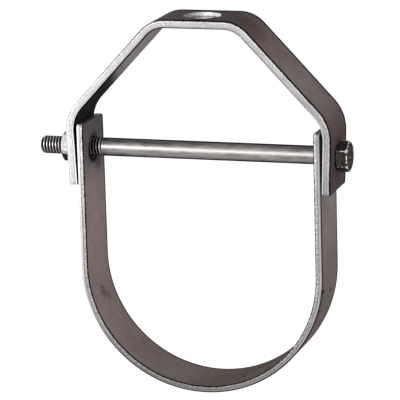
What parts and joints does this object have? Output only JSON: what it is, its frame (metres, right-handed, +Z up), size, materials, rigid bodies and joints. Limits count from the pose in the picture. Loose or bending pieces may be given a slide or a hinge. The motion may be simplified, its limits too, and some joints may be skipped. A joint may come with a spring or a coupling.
{
  "type": "clevis pipe hanger",
  "caption": "Adjustable steel clevis hanger: bent upper strap with a rod hole, U-shaped lower strap for the pipe, and a hex bolt and nut across.",
  "frame": {"origin": "centre of the rod hole on the underside of the crown, where the nut on the hanger rod bears", "axes": "+Z up along the rod, X along the cross bolt with the head at +X, Y along the pipe"},
  "size_m": [0.1647, 0.032, 0.1944],
  "materials": {
    "strap_steel": "satin mill finish",
    "bolt_steel": "satin, dark head",
    "nut_steel": "satin"
  },
  "bodies": {
    "upper": {"upper_yoke": "strap_steel"},
    "lower": {"lower_yoke": "strap_steel"},
    "bolt": {"cross_bolt": "bolt_steel", "hex_nut": "nut_steel"}
  },
  "joints": [
    {"name": "lower_yoke_swing", "type": "hinge", "parent": "upper", "child": "lower", "pos_m": [0, 0, -0.0658], "axis": [1, 0, 0], "range_deg": [-12, 12]},
    {"name": "bolt_turn", "type": "hinge", "parent": "upper", "child": "bolt", "pos_m": [0, 0, -0.0658], "axis": [1, 0, 0], "continuous": true}
  ]
}
